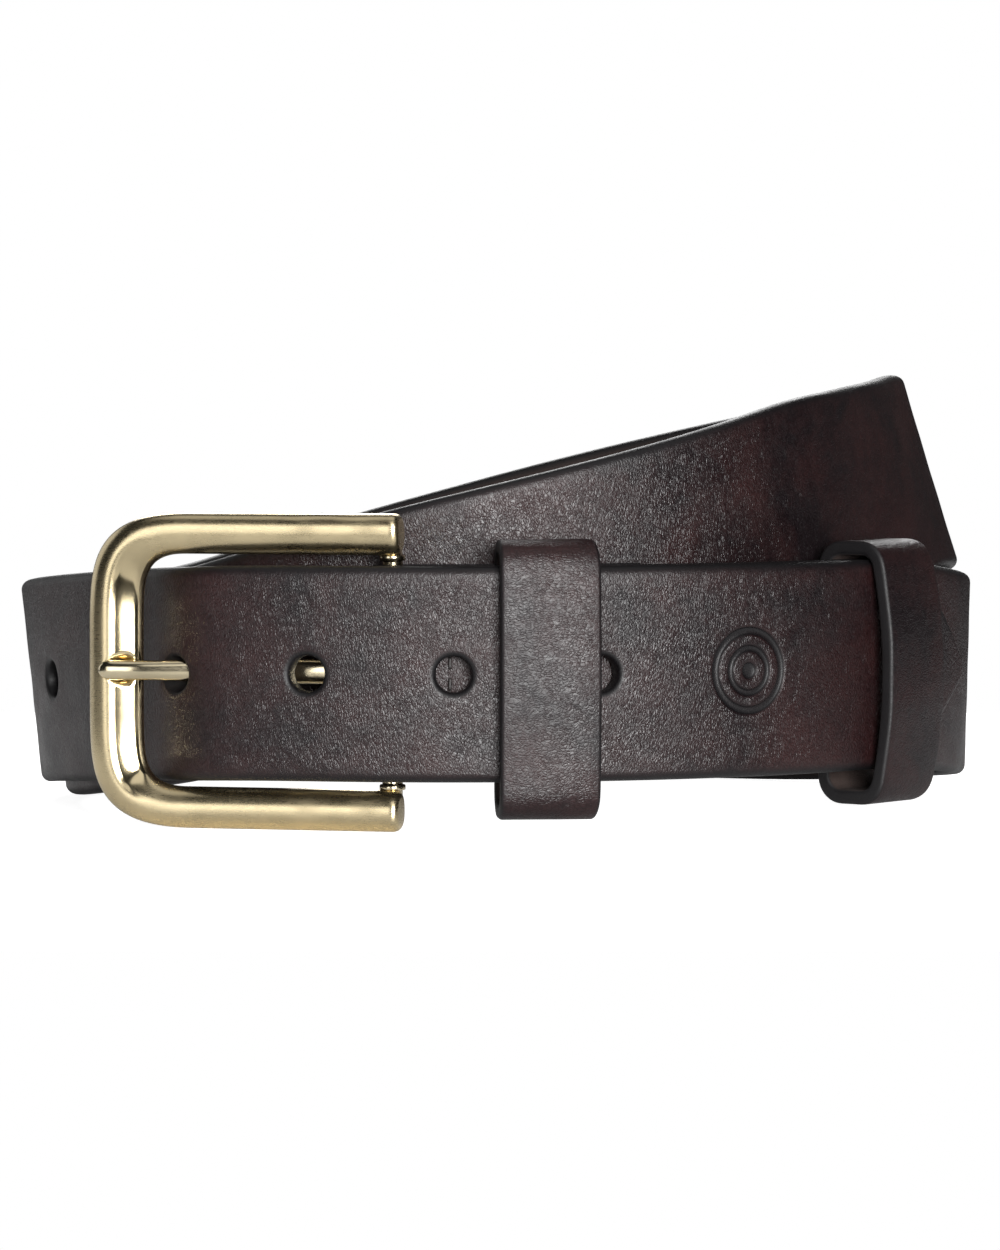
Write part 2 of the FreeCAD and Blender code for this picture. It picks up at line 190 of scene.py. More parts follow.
def strap_place(s, y, h):
    """Point at run s, y across from the centre line and h under the grain face.

    Hide is never quite flat, so the grain face has short dents 0.05 mm deep and long waves of 0.04 mm.
    """
    dents = 0.05 * np.sin(s / 5.3 + 0.35 * y) * np.sin(y / 4.1 + s / 17.0)
    wave = dents + 0.04 * np.sin(s / 11.7 + 1.3)
    level = h * np.interp(s, RUN, THICKNESS) / THICK + wave * (1 - h / THICK) * (h < 0.6)
    return table_at(GRAIN, s) + table_at(ACROSS, s) * y[:, None] - table_at(OUTWARD, s) * level[:, None]


def tip_half(s):
    """Half width: full, then two slightly bowed sides meeting in a rounded point."""
    d = max(0.0, RUN_END - s)
    if d >= TIP_LENGTH:
        return WIDTH / 2
    sides = (WIDTH / 2) * (1 - (1 - d / TIP_LENGTH) ** 1.28) ** 0.92
    return min(WIDTH / 2, math.sqrt(sides ** 2 + 4.4 * d * math.exp(-d / 3.0)) + 0.05)


# ---------------------------------------------------------------- mesh helpers
def new_mesh(name, points, faces):
    """Mesh in metres whose faces all look outwards."""
    data = bpy.data.meshes.new(name)
    data.from_pydata(points, [], faces)
    bm = bmesh.new()
    bm.from_mesh(data)
    bmesh.ops.recalc_face_normals(bm, faces=bm.faces)
    bm.to_mesh(data)
    bm.free()
    return data


def point_values(data, name, values):
    data.attributes.new(name, "FLOAT", "POINT").data.foreach_set("value", values)


def finish_mesh(name, data):
    data.validate()
    data.shade_smooth()
    obj = bpy.data.objects.new(name, data)
    bpy.context.scene.collection.objects.link(obj)
    return obj


def tube_faces(rings, count, base=0):
    """Faces of a closed tube whose rings follow each other in the list of points, with capped ends."""
    faces = []
    for i in range(rings - 1):
        for j in range(count):
            k = (j + 1) % count
            faces.append((base + i * count + j, base + i * count + k,
                          base + (i + 1) * count + k, base + (i + 1) * count + j))
    faces.append(tuple(base + j for j in range(count)))
    faces.append(tuple(base + (rings - 1) * count + j for j in reversed(range(count))))
    return faces


def lines_between(marks, step):
    """Positions with the marks kept and the rest evenly filled."""
    lines = [marks[0]]
    for a, b in zip(marks, marks[1:]):
        count = max(1, int(round((b - a) / step)))
        lines += [a + (b - a) * i / count for i in range(1, count + 1)]
    return lines


def round_end(end, way, radius, offsets):
    """Stations near an end of a strip, thinned to a round nose; way is 1 or -1 into the strip."""
    return [(end + way * d, math.sqrt(1 - (1 - d / radius) ** 2) + 0.02) for d in offsets]


# ---------------------------------------------------------------- strips of leather
EDGE_TURNS = (15, 30, 45, 60, 75, 90)


class Strip:
    """A strip with rounded edges, and round patches for holes and pressed marks.

    Points are (run, across, depth) until place() turns them into the row frame. rows are the grid lines
    across a strip of full width. The dark mask per point is 1 on burnished edges and in holes: on the edges
    and hole rims it is the real burnished colour, down the hole walls it is painted shade, and it also fills
    the pressed mark's grooves.
    """

    def __init__(self, place, width, thick, edge, rows, half=None):
        self.place, self.width, self.thick, self.edge = place, width, thick, edge
        self.rows = rows
        self.half = half
        self.points, self.faces, self.worn, self.flat = [], [], [], []

    def add(self, s, y, h, worn=0.0):
        self.points.append((s, y, h))
        self.worn.append(worn)
        return len(self.points) - 1

    def ring(self, s, squeeze):
        """One closed cross section: grain face, edge, flesh face, edge."""
        e, thick = self.edge, self.thick
        half = self.half(s) if self.half else self.width / 2
        arc = min(e, 0.6 * half)
        flat = half - arc
        scale = flat / self.rows[-1]
        turns = [math.radians(d) for d in EDGE_TURNS]
        side = [(flat + arc * math.sin(t), e * (1 - math.cos(t))) for t in turns]
        edge = side + [(y, thick - h) for y, h in reversed(side)]
        section = [(y * scale, 0.0) for y in self.rows]
        section += edge
        section += [(y * scale, thick) for y in reversed(self.rows)]
        section += [(-y, h) for y, h in reversed(edge)]
        ids = []
        for y, h in section:
            near_edge = smooth(1 - (half - abs(y)) / (1.6 * e))
            ids.append(self.add(s, y, thick / 2 + (h - thick / 2) * squeeze, float(near_edge)))
        return ids

    def build(self, stations, patches=()):
        """Skin the rings at the stations (run, squeeze), cap both ends and fill in the patches."""
        rings = [self.ring(s, squeeze) for s, squeeze in stations]
        n = len(self.rows)
        m = len(rings[0])
        flesh0 = n + 2 * len(EDGE_TURNS)
        skip = set()
        for patch in patches:
            for i in range(patch["from"], patch["to"]):
                for j in range(patch["low"], patch["high"]):
                    skip.add((i, j))
                    if patch["through"]:
                        skip.add((i, flesh0 + n - 2 - j))
        for i in range(len(rings) - 1):
            for j in range(m):
                if (i, j) not in skip:
                    k = (j + 1) % m
                    self.faces.append((rings[i][j], rings[i][k], rings[i + 1][k], rings[i + 1][j]))
        first_cap = len(self.faces)
        self.rims = [rings[0], rings[-1]]
        for ring in (rings[0], rings[-1]):
            for j in range(n - 1):
                self.faces.append((ring[j], ring[j + 1], ring[flesh0 + n - 2 - j], ring[flesh0 + n - 1 - j]))
            self.faces.append(tuple(ring[n - 1:flesh0 + 1]))
            self.faces.append(tuple(ring[flesh0 + n - 1:]) + (ring[0],))
        self.flat = list(range(first_cap, len(self.faces)))
        for patch in patches:
            self.patch(rings, patch, n, flesh0)

    def loop(self, rings, patch, n, flesh0, flesh):
        """Grid points round a patch's opening, on the grain or the flesh face."""
        i0, i1, j0, j1 = patch["from"], patch["to"], patch["low"], patch["high"]

        def at(i, j):
            return rings[i][flesh0 + n - 1 - j] if flesh else rings[i][j]
        path = [at(i0, j) for j in range(j0, j1)] + [at(i, j1) for i in range(i0, i1)]
        path += [at(i1, j) for j in range(j1, j0, -1)] + [at(i, j0) for i in range(i1, i0, -1)]
        return path

    def bridge(self, a, b):
        for k in range(len(a)):
            q = (k + 1) % len(a)
            self.faces.append((a[k], a[q], b[q], b[k]))

    def patch(self, rings, patch, n, flesh0):
        """Rings from the square opening in the grid inwards; through patches join both faces."""
        outer = self.loop(rings, patch, n, flesh0, False)
        cs, cy = patch["centre"]
        aim = [math.atan2(self.points[v][1] - cy, self.points[v][0] - cs) for v in outer]

        def circle(radius, h, worn, shift=0.0, stretch=1.0):
            return [self.add(cs + shift + radius * stretch * math.cos(t), cy + radius * math.sin(t), h, worn)
                    for t in aim]

        def ease(start, target, worn):
            made = []
            for a, b in zip(start, target):
                p, q = self.points[a], self.points[b]
                made.append(self.add(*[0.5 * (p[i] + q[i]) for i in range(3)], worn))
            return made
        levels = [circle(*level) for level in patch["levels"]]
        middle = ease(outer, levels[0], 0.0)
        chain = [outer, middle] + levels
        for a, b in zip(chain, chain[1:]):
            self.bridge(a, b)
        if patch["through"]:
            under = self.loop(rings, patch, n, flesh0, True)
            blend = ease(under, levels[-1], 0.0)
            self.bridge(levels[-1], blend)
            self.bridge(blend, under)
        else:
            self.faces.append(tuple(levels[-1]))

    def mesh(self, name, uv_offset=0.0):
        pts = np.array(self.points)
        world = self.place(pts[:, 0], pts[:, 1], pts[:, 2]) * MM
        data = new_mesh(name, world.tolist(), self.faces)
        point_values(data, "worn", self.worn)
        point_values(data, "deep", (pts[:, 2] / self.thick).tolist())
        layer = data.uv_layers.new(name="UVMap")
        index = np.zeros(len(data.loops), dtype=int)
        data.loops.foreach_get("vertex_index", index)
        uv = np.stack([pts[:, 0] + uv_offset, pts[:, 1] + pts[:, 2] * np.sign(pts[:, 1])], -1) * MM
        layer.data.foreach_set("uv", uv[index].ravel())
        obj = finish_mesh(name, data)
        for i in self.flat:
            data.polygons[i].use_smooth = False
        self.match_rims(data, world)
        return obj

    def match_rims(self, data, world):
        """Normals at both ends follow the strip's run, so two pieces meet without a line."""
        exact = {}
        for ring in self.rims:
            here = np.array([self.points[v] for v in ring])
            before, after = (self.place(here[:, 0] + d, here[:, 1], here[:, 2]) for d in (-0.8, 0.8))
            around = np.roll(world[ring], -1, 0) - np.roll(world[ring], 1, 0)
            for v, n in zip(ring, unit(np.cross(after - before, around))):
                exact[v] = n
        normals = [tuple(n.vector) for n in data.corner_normals]
        for face in data.polygons:
            if face.use_smooth:
                for corner in face.loop_indices:
                    n = exact.get(data.loops[corner].vertex_index)
                    if n is not None:
                        sign = 1.0 if float(np.dot(n, normals[corner])) > 0 else -1.0
                        normals[corner] = tuple(n * sign)
        data.normals_split_custom_set(normals)


# ---------------------------------------------------------------- strap pieces
# Runs of the size holes, from the tip inwards; the prong is in the fourth
HOLES = [run_at(FIRST_HOLE_AZ) - HOLE_PITCH * i for i in range(HOLE_COUNT)]
PRONG_HOLE = HOLES[3]
MARK = run_at(MARK_AZ)
BEND_START = run_at(BEND_AZ)
SEAM = HOLES[2] - 11.0  # the strap's pieces meet between the third hole and the prong's

# Grid lines across the strap: close together over the holes, wider towards the edges
ROWS = [-17.3 + 11.3 * i / 6 for i in range(6)] + [-6 + 1.5 * i for i in range(9)]
ROWS += [6 + 11.3 * i / 6 for i in range(1, 7)]
HOLE_ROWS, MARK_ROWS = (6, 14), (4, 16)
HOLE_REACH, PRONG_REACH, MARK_REACH = 6.0, 9.0, 9.0

# Rings from the rim inwards: (radius, depth, dark mask), then for the prong's hole (shift along, stretch).
# The dark mask is real burnish on the rims, painted shade down the hole walls, and near black in the mark's
# grooves.
HOLE_LEVELS = [
    (4.3, 0.0, 0.25), (3.95, 0.05, 0.8), (3.7, 0.16, 1.0), (3.45, 0.36, 1.0), (3.27, 0.75, 1.0),
    (3.25, 2.2, 1.0), (3.25, 3.7, 1.0), (3.4, 4.0, 0.8)]
PRONG_LEVELS = [
    (3.9, 0.0, 0.3, -1.2, 1.12), (3.6, 0.12, 1.0, -1.2, 1.12), (3.3, 0.4, 1.0, -1.2, 1.12),
    (3.25, 1.2, 1.0, -0.2, 1.12), (3.25, 2.6, 1.0, 1.6, 1.15), (3.25, 3.7, 1.0, 3.0, 1.15),
    (3.4, 4.0, 0.8, 3.2, 1.15)]
MARK_LEVELS = [
    (8.2, 0.0, 0.0), (7.85, 0.05, 0.3), (7.7, 0.35, 1.0), (7.5, 0.5, 1.0), (6.7, 0.54, 0.8), (6.5, 0.4, 1.0),
    (6.35, 0.05, 0.4), (6.0, -0.03, 0.0), (4.9, -0.03, 0.0), (4.6, 0.05, 0.3), (4.45, 0.38, 1.0),
    (4.25, 0.5, 1.0), (3.7, 0.54, 0.8), (3.5, 0.4, 1.0), (3.35, 0.05, 0.4), (3.0, -0.03, 0.0),
    (1.8, 0.0, 0.1), (1.5, 0.08, 0.4), (1.35, 0.38, 1.0), (1.1, 0.5, 1.0), (0.5, 0.54, 0.9)]


def strap_lines(marks, step):
    """Runs of the cross sections, closer together where the strap turns round the heel bar."""
    start, end = marks[0], marks[-1]
    turn = [v for v in (38.0, 62.0) if start < v < end]
    lines = sorted(set(round(s, 5) for s in lines_between(sorted(marks + turn), step)))
    if turn:
        fine = 0.4
        outside = [s for s in lines if s <= turn[0] or s >= turn[1]]
        lines = sorted(outside + [turn[0] + fine * i for i in range(1, int((turn[1] - turn[0]) / fine))])
    return lines


def strap_piece(name, start, end, free=(False, False), mark=None):
    """Strap between two runs, with its holes; a free end is rounded, the others meet the next piece."""
    spots = []
    for s in HOLES:
        if start < s < end:
            if s == PRONG_HOLE:
                spots.append((s, PRONG_REACH, HOLE_ROWS, PRONG_LEVELS))
            else:
                spots.append((s, HOLE_REACH, HOLE_ROWS, HOLE_LEVELS))
    if mark:
        spots.append((mark, MARK_REACH, MARK_ROWS, MARK_LEVELS))
    borders = sorted(s + way * reach for s, reach, _, _ in spots for way in (-1, 1))
    stations = [(s, 1.0) for s in strap_lines([start] + borders + [end], 1.6)]
    if free[0]:
        stations = round_end(start, 1, 0.9, (0.0, 0.12, 0.3, 0.55)) + [
            v for v in stations if v[0] > start + 0.9]
    if free[1]:
        stations = [v for v in stations if v[0] < end - 1.4] + round_end(
            end, -1, 1.6, (1.0, 0.6, 0.3, 0.12, 0.0))

    def nearest(run):
        return int(np.argmin([abs(v[0] - run) for v in stations]))
    patches = [{
        "from": nearest(s - reach), "to": nearest(s + reach), "low": rows[0], "high": rows[1],
        "centre": (s, 0.0), "levels": levels, "through": levels is not MARK_LEVELS,
    } for s, reach, rows, levels in spots]
    strip = Strip(strap_place, WIDTH, THICK, 1.7, ROWS, half=tip_half)
    strip.build(stations, patches)
    return strip.mesh(name)


coil_piece = strap_piece("strap_coil_leather", 0.0, BEND_START, free=(True, False))
left_piece = strap_piece("strap_buckle_bend_leather", BEND_START, SEAM)
tip_piece = strap_piece("strap_tip_leather", SEAM, RUN_END, free=(False, True), mark=MARK)


# ---------------------------------------------------------------- keepers
def keeper_outline(back, face, curve, up, down):
    """Outer outline of the loop as distance from the coil axis and height, from the rear seam."""
    points = [(back, 0.0)]
    r = KEEPER_CORNER

    def corner(cr, cz, start, end):
        for t in np.radians(np.linspace(start, end, 15)):
            points.append((cr + r * math.cos(t), cz + r * math.sin(t)))
    rise, middle = (up + down) / 2 - r, (up - down) / 2
    rc = face - curve + math.sqrt((curve - r) ** 2 - rise ** 2)
    meet = math.degrees(math.asin(rise / (curve - r)))
    corner(back + r, up - r, 180, 90)
    corner(rc, up - r, 90, meet)
    for t in np.radians(np.linspace(meet, -meet, 21)[1:-1]):
        points.append((face - curve + curve * math.cos(t), middle + curve * math.sin(t)))
    corner(rc, r - down, -meet, -90)
    corner(back + r, r - down, -90, -180)
    points.append((back, 0.0))
    return np.array(points)


def keeper(name, azimuth, back, face, curve, up, down):
    """Leather loop round the strap: back and face are radii, curve is the bow of its front."""
    line = keeper_outline(back, face, curve, up, down)
    step = np.linalg.norm(np.diff(line, axis=0), axis=1)
    run = np.concatenate([[0.0], np.cumsum(step)])
    count = 900
    fine = np.linspace(0, run[-1], count)
    line = np.stack([np.interp(fine, run, line[:, i]) for i in range(2)], -1)
    kernel = np.hanning(25) / np.hanning(25).sum()
    padded = np.concatenate([line[-40:-1], line, line[1:40]])
    line = np.stack([np.convolve(padded[:, i], kernel, "same") for i in range(2)], -1)[39:39 + count]
    along = unit(np.gradient(line, axis=0))
    normal = np.stack([-along[:, 1], along[:, 0]], -1)
    total = float(fine[-1])

    def place(s, y, h):
        r, z = (np.interp(s, fine, line[:, i]) for i in range(2))
        nr, nz = (np.interp(s, fine, normal[:, i]) for i in range(2))
        ripple = 0.05 * np.sin(s / 2.3 + y / 6.0) * (h < 0.4)
        turn = azimuth + np.degrees(y / 101.0)
        return polar(r - nr * (h - ripple), turn, z - nz * (h - ripple))
    rows = [-8.3 + 16.6 * i / 12 for i in range(13)]
    strip = Strip(place, KEEPER_WIDTH, KEEPER_WALL, 0.7, rows)
    gap, nose = 0.12, 0.8
    offsets = (0.0, 0.1, 0.3, 0.55)
    stations = round_end(gap, 1, nose, offsets)
    stations += [(s, 1.0) for s in lines_between([gap + nose, total - gap - nose], 0.8)]
    stations += round_end(total - gap, -1, nose, reversed(offsets))
    strip.build(stations)
    return strip.mesh(name, uv_offset=1500.0 + azimuth)


fixed_piece = keeper("fixed_keeper_leather", FIXED_AZ, FIXED_BACK, 101.7, 270.0, 23.6, 25.7)
loose_piece = keeper("loose_keeper_leather", LOOSE_AZ, LOOSE_BACK, 103.4, 90.0, 22.4, 25.4)


# ---------------------------------------------------------------- swept metal
def sweep(name, sections, worn=None):
    """Closed mesh through rings of points in millimetres, with capped ends."""
    points = [tuple(p * MM) for ring in sections for p in ring]
    data = new_mesh(name, points, tube_faces(len(sections), len(sections[0])))
    if worn is not None:
        point_values(data, "worn", worn)
    return finish_mesh(name, data)


# The frame lies in a plane through the heel bar: REACH points along its arms, PROUD to the viewer
BAR = polar_point(BAR_AT, BAR_AZ)
REACH = np.array([-math.cos(FRAME_YAW), math.sin(FRAME_YAW), 0.0])
PROUD = np.array([-math.sin(FRAME_YAW), -math.cos(FRAME_YAW), 0.0])
UP = np.array([0.0, 0.0, 1.0])


def frame_point(u, z, n):
    """Point u along the arms from the heel bar, z up and n proud of the bar."""
    return BAR + REACH * u + UP * z + PROUD * n


def signed_power(v, e):
    return math.copysign(abs(v) ** e, v)


def inside_outer(u, z):
    """Under 1 inside the outer outline, a superellipse with straight arms."""
    return (max(0.0, u - 35.8) / 20.0) ** 2.5 + (abs(z) / 28.1) ** 5.2


def inside_inner(u, z):
    """Under 1 inside the opening."""
    return (max(0.0, u - 37.4) / 8.5) ** 2.5 + (abs(z) / 20.7) ** 7.5


def outline_hit(shape, start, direction):
    """Point where a ray from inside crosses one outline of the frame."""
    near, far = 0.0, 60.0
    for _ in range(44):
        middle = (near + far) / 2
        if shape(start[0] + direction[0] * middle, start[1] + direction[1] * middle) < 1.0:
            near = middle
        else:
            far = middle
    return np.array([start[0] + direction[0] * near, start[1] + direction[1] * near])


def crown(c, ridge):
    """Front height across the casting, c = 0 at the outer edge and 1 at the inner edge.

    ridge 0 gives the rounded section of an arm, ridge 1 the end bar's crease and inner bevel.
    """
    t = c ** 0.8
    arm = FRAME_MIDDLE + FRAME_HALF * max(0.0, 1 - abs(2 * t - 1) ** 2.4) ** 0.5
    if c < 0.4:
        bar = FRAME_MIDDLE + FRAME_HALF * max(0.0, 1 - (1 - c / 0.4) ** 2.1) ** 0.72
    elif c < 0.5:
        bar = 4.4 - 0.22 * ((c - 0.4) / 0.1) ** 2
    else:
        q = (c - 0.5) / 0.5
        bar = 4.18 - 0.14 * float(smooth(q / 0.07)) - 1.75 * q ** 1.2
        if q > 0.7:
            bar = FRAME_MIDDLE + (bar - FRAME_MIDDLE) * max(0.0, 1 - ((q - 0.7) / 0.3) ** 2.2) ** 0.5
    return arm + (bar - arm) * ridge


def frame_rails():
    """Pairs of outline points, outer and inner, with the share of the end bar's section there."""
    def pair(start, way, ridge):
        return outline_hit(inside_outer, start, way), outline_hit(inside_inner, start, way), ridge
    rails = []
    for u in [-2.0, -1.96, -1.85, -1.65, -1.3, -0.8] + lines_between([-0.2, 38.0], 0.8):
        rails.append(pair((u, 0), (0, 1), 0.0))
    pivot = (38.0, 13.0)
    for d in np.arange(87, 0, -3):
        way = (math.cos(math.radians(d)), math.sin(math.radians(d)))
        rails.append(pair(pivot, way, float(smooth((62.0 - d) / 34.0))))
    for z in list(np.arange(13.0, 5.0, -0.8)) + list(np.arange(5.0, 0.1, -0.25)) + [0.0]:
        rails.append(pair((30.0, z), (1, 0), 1.0))
    return rails + [(o * (1, -1), i * (1, -1), ridge) for o, i, ridge in reversed(rails[:-1])]


def build_frame():
    """Cast U frame, swept along its outline; the front has a seat for the prong in its end bar."""
    steps = 40
    across = [0.5 - 0.5 * math.cos(math.pi * j / steps) for j in range(steps + 1)]
    rings, polish = [], []
    for outer, inner, ridge in frame_rails():
        end = min(1.0, (min(outer[0], inner[0]) - ARM_END) / 1.3)
        shrink = 0.62 + 0.38 * math.sqrt(max(0.0, 1 - (1 - end) ** 2))
        ring = []
        for j, c in enumerate(across + across[-2:0:-1]):
            front = j <= steps
            if front:
                n = crown(c, ridge)
                u0 = float(outer[0])
                fade = float(smooth((24.0 - u0) / 8.0) * smooth(c / 0.2) * smooth((1 - c) / 0.2))
                n += 0.10 * math.sin(2 * math.pi * (u0 - 3.7) / 11.3) * fade
            else:
                n = FRAME_MIDDLE - FRAME_HALF * max(0.0, 1 - abs(2 * c - 1) ** 3.0) ** 0.42
            shine = float(smooth((c - 0.47) / 0.05)) * ridge if front else 0.0
            spot = outer + (inner - outer) * (0.5 + (c - 0.5) * shrink)
            n = FRAME_MIDDLE + (n - FRAME_MIDDLE) * shrink
            u, z = float(spot[0]), float(spot[1])
            if front and u > 43:
                away = math.hypot((u - 46.5) / 6.0, z / 3.5)
                dip = float(smooth((1.0 - away) / 0.45))
                seat = 2.5 + 0.06 * z * z
                n = n + (min(n, seat) - n) * dip
                shine = max(shine, dip)
            ring.append(frame_point(u, z, n))
            polish.append(shine)
        rings.append(ring)
    return sweep("buckle_frame_cast", rings, polish)


def tube_ring(centre, side, lift, wide, tall, power, count=28):
    """Ring of a bar's cross section: a rounded rectangle, squarer at a lower power."""
    ring = []
    for j in range(count):
        t = 2 * math.pi * j / count
        ring.append(centre + side * (wide * signed_power(math.cos(t), power))
                    + lift * (tall * signed_power(math.sin(t), power)))
    return ring


# Centre line of the prong's blade: distance from the heel bar and height over it
PRONG_KNOTS = [
    (2.5, 2.45), (6, 1.75), (10, 1.2), (18, 0.95), (27, 1.0), (36, 2.3), (42, 3.5), (46, 4.2),
    (PRONG_TIP, 4.4)]


def hermite(knots, v):
    """Smooth curve through the knots."""
    us, ns = (np.array(column) for column in zip(*knots))
    slopes = np.gradient(ns, us)
    i = min(max(int(np.searchsorted(us, v)) - 1, 0), len(us) - 2)
    h = us[i + 1] - us[i]
    t = (v - us[i]) / h
    return ((1 + 2 * t) * (1 - t) ** 2 * ns[i] + t * (1 - t) ** 2 * h * slopes[i]
            + t * t * (3 - 2 * t) * ns[i + 1] + t * t * (t - 1) * h * slopes[i + 1])


def build_prong():
    """A strip rolled round the heel bar that thickens into the cranked blade."""
    thin, wide_half = 0.8, 2.2
    path = []
    for d in np.linspace(-235, 0, 36):
        t = math.radians(d)
        path.append((PRONG_EYE * math.sin(t), PRONG_EYE * math.cos(t), thin, wide_half))
    first_u, first_n = PRONG_KNOTS[0]
    for v in np.arange(0.8, PRONG_TIP + 0.01, 0.6):
        if v < first_u:
            n = PRONG_EYE + (first_n - PRONG_EYE) * float(smooth(v / first_u))
        else:
            n = hermite(PRONG_KNOTS, v)
        tall = thin + 0.6 * float(smooth(v / 9.0))
        wide = wide_half - 0.45 * float(smooth((v - 20.0) / 30.0))
        left = (PRONG_TIP - v) / 2.4
        if left < 1:
            wide *= math.sqrt(max(0.02, 1 - (1 - left) ** 2))
            tall *= math.sqrt(max(0.05, 1 - (1 - left) ** 2)) * 0.9 + 0.1
        path.append((v, n, tall, wide))
    rings = []
    for i, (v, n, tall, wide) in enumerate(path):
        before, after = path[max(0, i - 1)], path[min(len(path) - 1, i + 1)]
        du, dn = after[0] - before[0], after[1] - before[1]
        size = math.hypot(du, dn)
        lift = REACH * (-dn / size) + PROUD * (du / size)
        rings.append(tube_ring(frame_point(v, 0.0, n), UP, lift, wide, tall, 0.8))
    return sweep("prong_blade", rings)


def lathe(name, profile, centre, count=40):
    """Turned piece about a vertical axis from (radius, height) pairs."""
    rings = []
    for r, z in profile:
        rings.append([centre + np.array([r * math.cos(2 * math.pi * j / count),
                                         r * math.sin(2 * math.pi * j / count), z]) for j in range(count)])
    return sweep(name, rings)


def build_bar():
    """Heel bar with a collar inside each arm."""
    side = [(1.5, 25.0), (BAR_RADIUS, 24.6), (BAR_RADIUS, 20.75), (2.25, 20.7), (2.3, 20.5), (2.3, 19.95),
            (2.2, 19.8), (1.82, 19.7), (BAR_RADIUS, 19.5)]
    profile = side + [(BAR_RADIUS, v) for v in (13, 6, 0, -6, -13)] + [(r, -z) for r, z in reversed(side)]
    return lathe("heel_bar_turned", profile, BAR)


frame_piece = build_frame()
prong_piece = build_prong()
bar_piece = build_bar()


# ---------------------------------------------------------------- staples and stitches
def wire(name, runs, radius, count=12):
    """Several round wires as one mesh; each run is a list of points in millimetres."""
    verts, faces = [], []
    for points in runs:
        points = np.array(points, float)
        along = unit(np.gradient(points, axis=0))
        guide = np.array([0.31, 0.52, 0.79])  # no wire runs this way
        base = len(verts)
        for i, (p, t) in enumerate(zip(points, along)):
            side = unit(np.cross(t, guide))
            lift = np.cross(t, side)
            end = min(i, len(points) - 1 - i)
            r = radius * (0.35 if end == 0 else 0.8 if end == 1 else 1.0)
            for j in range(count):
                a = 2 * math.pi * j / count
                verts.append(tuple((p + side * r * math.cos(a) + lift * r * math.sin(a)) * MM))
        faces += tube_faces(len(points), count, base)
    return finish_mesh(name, new_mesh(name, verts, faces))


def build_staple(name, azimuth, back):
    """Two wire staples across the rear seam of a keeper, their ends sunk in the leather."""
    runs = []
    for z in (-3.2, 3.2):
        leg = [(back + 1.5, -4.2), (back + 0.5, -4.25), (back + 0.1, -4.0), (back + 0.02, -3.2)]
        path = leg + [(back + 0.02, v) for v in np.linspace(-2.4, 2.4, 7)]
        path += [(r, -y) for r, y in reversed(leg)]
        runs.append([polar_point(r, azimuth + math.degrees(y / back), z) for r, y in path])
    return wire(name, runs, 0.34)


def build_stitches(name, azimuth):
    """A row of stitches across the strap, on its grain face and on the turned-back end."""
    inner_face = 84.5
    runs = []
    for sunk, lift in ((GRAIN_FRONT - 1.3, GRAIN_FRONT - 0.22), (inner_face + 1.2, inner_face + 0.18)):
        for i in range(8):
            low = -15 + STITCH_PITCH * i + 0.35
            path = []
            for t in np.linspace(0, 1, 11):
                rise = min(1.0, math.sin(math.pi * t) * 2.2)
                radius = sunk + (lift - sunk) * rise
                path.append(polar_point(radius, azimuth, low + (STITCH_PITCH - 0.7) * t))
            runs.append(path)
    return wire(name, runs, 0.4)


fixed_staple = build_staple("fixed_keeper_staple_wire", FIXED_AZ, FIXED_BACK)
loose_staple = build_staple("loose_keeper_staple_wire", LOOSE_AZ, LOOSE_BACK)
inner_stitches = build_stitches("stitch_row_inner_thread", -0.2)
outer_stitches = build_stitches("stitch_row_outer_thread", 19.6)


# ---------------------------------------------------------------- materials
class Nodes:
    """Small helper that adds and links shader nodes."""

    def __init__(self, name):
        self.material = bpy.data.materials.new(name)
        self.material.use_nodes = True
        self.tree = self.material.node_tree
        self.shader = self.tree.nodes["Principled BSDF"]

    def add(self, kind, **values):
        made = self.tree.nodes.new(kind)
        for key, value in values.items():
            if hasattr(made, key):
                setattr(made, key, value)
            else:
                made.inputs[key].default_value = value
        return made

    def link(self, a, b):
        self.tree.links.new(a, b)

    def coordinates(self, scale, source="UV"):
        """Texture coordinates; the strips' UV is their flat leather in metres."""
        mapping = self.add("ShaderNodeMapping")
        mapping.inputs["Scale"].default_value = scale
        self.link(self.add("ShaderNodeTexCoord").outputs[source], mapping.inputs["Vector"])
        return mapping.outputs["Vector"]

    def noise(self, vector, scale, detail=3.0, roughness=0.55, distortion=0.0):
        made = self.add("ShaderNodeTexNoise", Scale=scale, Detail=detail, Roughness=roughness,
                        Distortion=distortion)
        self.link(vector, made.inputs["Vector"])
        return made.outputs["Fac"]

    def grey(self, value, low, high, a=0.0, b=1.0):
        """Map low..high to a..b, clamped."""
        made = self.add("ShaderNodeMapRange")
        made.inputs["From Min"].default_value = low
        made.inputs["From Max"].default_value = high
        made.inputs["To Min"].default_value = a
        made.inputs["To Max"].default_value = b
        self.link(value, made.inputs["Value"])
        return made.outputs["Result"]

    def maths(self, operation, a, b):
        made = self.add("ShaderNodeMath", operation=operation)
        for socket, value in zip(made.inputs, (a, b)):
            if isinstance(value, (int, float)):
                socket.default_value = value
            else:
                self.link(value, socket)
        return made.outputs["Value"]

    def mix(self, factor, a, b):
        made = self.add("ShaderNodeMix", data_type="RGBA")
        self.link(factor, made.inputs[0])
        for socket, value in ((made.inputs[6], a), (made.inputs[7], b)):
            if isinstance(value, tuple):
                socket.default_value = (*value, 1.0)
            else:
                self.link(value, socket)
        return made.outputs[2]

    def attribute(self, name):
        return self.add("ShaderNodeAttribute", attribute_name=name).outputs["Fac"]

    def bump(self, height, strength, distance):
        made = self.add("ShaderNodeBump", Strength=strength, Distance=distance)
        self.link(height, made.inputs["Height"])
        return made.outputs["Normal"]


